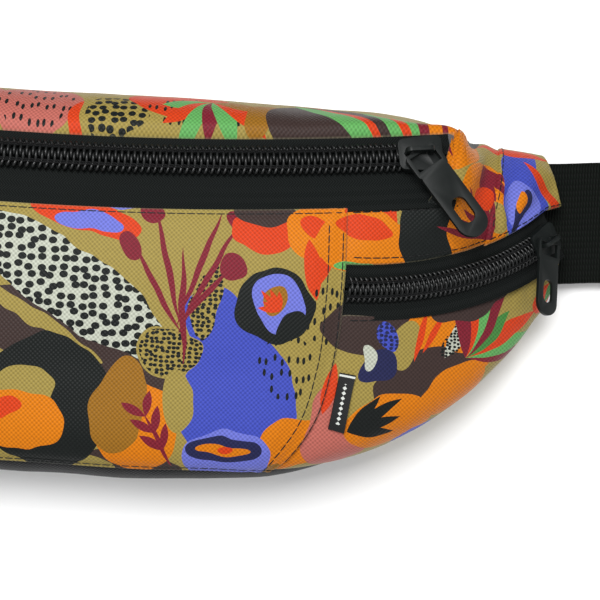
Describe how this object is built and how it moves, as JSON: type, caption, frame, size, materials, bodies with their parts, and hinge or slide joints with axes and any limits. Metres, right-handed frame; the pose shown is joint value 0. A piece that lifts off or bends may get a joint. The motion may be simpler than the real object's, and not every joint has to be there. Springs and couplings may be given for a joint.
{
  "type": "waist pack",
  "caption": "Soft waist pack in printed fabric with a long curved main zipper, a short zipper in each side, and a closed webbing belt with side-release buckle.",
  "frame": {"origin": "middle of the back panel's outer face, at the pack's mid width and mid height", "axes": "+X to the pack's right as seen from the front, +Y to its top edge, +Z out of its front; the pack lies on its back panel"},
  "size_m": [0.4674, 0.1953, 0.0571],
  "materials": {
    "printed_fabric": "printed woven polyester with a satin sheen",
    "black_fabric": "black woven polyester and spacer mesh",
    "lining_fabric": "thin plain-weave lining",
    "zip_tape": "black herringbone zipper tape",
    "zip_coil": "black nylon monofilament coil",
    "slider_metal": "matte black lacquer on die-cast zinc",
    "label_weave": "black damask-woven label with plain pale motif",
    "webbing": "black ribbed polypropylene webbing",
    "buckle_plastic": "black moulded acetal, fine spark texture",
    "keeper_elastic": "black ribbed elastic"
  },
  "bodies": {
    "pack": {"front_centre_panel": "printed_fabric", "top_panel": "printed_fabric", "side_panel_upper_right": "printed_fabric", "side_panel_upper_left": "printed_fabric", "side_panel_lower_right": "printed_fabric", "side_panel_lower_left": "printed_fabric", "back_panel": "black_fabric", "bottom_gusset": "black_fabric", "main_lining": "lining_fabric", "pocket_divider": "lining_fabric", "main_zip_tape_lower": "zip_tape", "main_zip_tape_upper": "zip_tape", "side_zip_tape_lower_right": "zip_tape", "side_zip_tape_lower_left": "zip_tape", "side_zip_tape_upper_right": "zip_tape", "side_zip_tape_upper_left": "zip_tape", "main_zip_coil_lower": "zip_coil", "main_zip_coil_upper": "zip_coil", "main_zip_stops": "zip_coil", "side_zip_coil_lower_right": "zip_coil", "side_zip_coil_lower_left": "zip_coil", "side_zip_coil_upper_right": "zip_coil", "side_zip_coil_upper_left": "zip_coil", "side_zip_stops_right": "zip_coil", "side_zip_stops_left": "zip_coil", "label_tag": "label_weave", "belt_tab_right": "webbing", "belt_tab_left": "webbing"},
    "main_slider": {"main_slider": "slider_metal"},
    "main_puller": {"main_puller": "slider_metal"},
    "side_slider_right": {"side_slider_right": "slider_metal"},
    "side_puller_right": {"side_puller_right": "slider_metal"},
    "side_slider_left": {"side_slider_left": "slider_metal"},
    "side_puller_left": {"side_puller_left": "slider_metal"},
    "buckle_arm_upper": {"buckle_arm_upper": "buckle_plastic"},
    "buckle_arm_lower": {"buckle_arm_lower": "buckle_plastic"},
    "strap_keeper": {"strap_keeper": "keeper_elastic"},
    "belt": {"belt_strap_right": "webbing", "belt_strap_left": "webbing", "belt_return": "webbing", "belt_tail": "webbing", "buckle_receiver": "buckle_plastic", "buckle_prongs": "buckle_plastic"}
  },
  "joints": [
    {"name": "main_zip", "type": "hinge", "parent": "pack", "child": "main_slider", "pos_m": [0, 0.42436, -0.39997], "axis": [0, 0.7586, 0.6515], "range_deg": [-21.68, 0]},
    {"name": "main_pull_flip", "type": "hinge", "parent": "main_slider", "child": "main_puller", "pos_m": [0.11295, 0.04457, 0.04938], "axis": [-0.7737, -0.587, 0.2384], "range_deg": [0, 150]},
    {"name": "side_zip_right", "type": "hinge", "parent": "pack", "child": "side_slider_right", "pos_m": [0.08003, 0.07057, -0.01828], "axis": [0.1119, 0.717, 0.688], "range_deg": [-34.45, 0]},
    {"name": "side_pull_flip_right", "type": "hinge", "parent": "side_slider_right", "child": "side_puller_right", "pos_m": [0.15757, 0.02126, 0.02565], "axis": [-0.7967, 0.1566, 0.5838], "range_deg": [0, 150]},
    {"name": "side_zip_left", "type": "hinge", "parent": "pack", "child": "side_slider_left", "pos_m": [-0.08003, 0.07057, -0.01828], "axis": [0.1119, -0.717, -0.688], "range_deg": [-34.45, 0]},
    {"name": "side_pull_flip_left", "type": "hinge", "parent": "side_slider_left", "child": "side_puller_left", "pos_m": [-0.15757, 0.02126, 0.02565], "axis": [-0.7967, -0.1566, -0.5838], "range_deg": [0, 150]},
    {"name": "belt_swing", "type": "hinge", "parent": "pack", "child": "belt", "pos_m": [0, 0.0277, 0.006], "axis": [1, 0, 0], "range_deg": [-100, 110]},
    {"name": "buckle_arm_upper_flex", "type": "hinge", "parent": "belt", "child": "buckle_arm_upper", "pos_m": [0.0042, 0.1292, 0.0415], "axis": [0, -1, 0], "range_deg": [0, 10], "stiffness_Nm_per_rad": 0.4},
    {"name": "buckle_arm_lower_flex", "type": "hinge", "parent": "belt", "child": "buckle_arm_lower", "pos_m": [0.0042, 0.1292, 0.0135], "axis": [0, -1, 0], "range_deg": [-10, 0], "stiffness_Nm_per_rad": 0.4},
    {"name": "keeper_slide", "type": "slide", "parent": "belt", "child": "strap_keeper", "axis": [1, 0, 0], "range_m": [-0.03, 0.02]}
  ],
  "couplings": [
    {"joint": "buckle_arm_lower_flex", "follows": "buckle_arm_upper_flex", "ratio": -1}
  ]
}
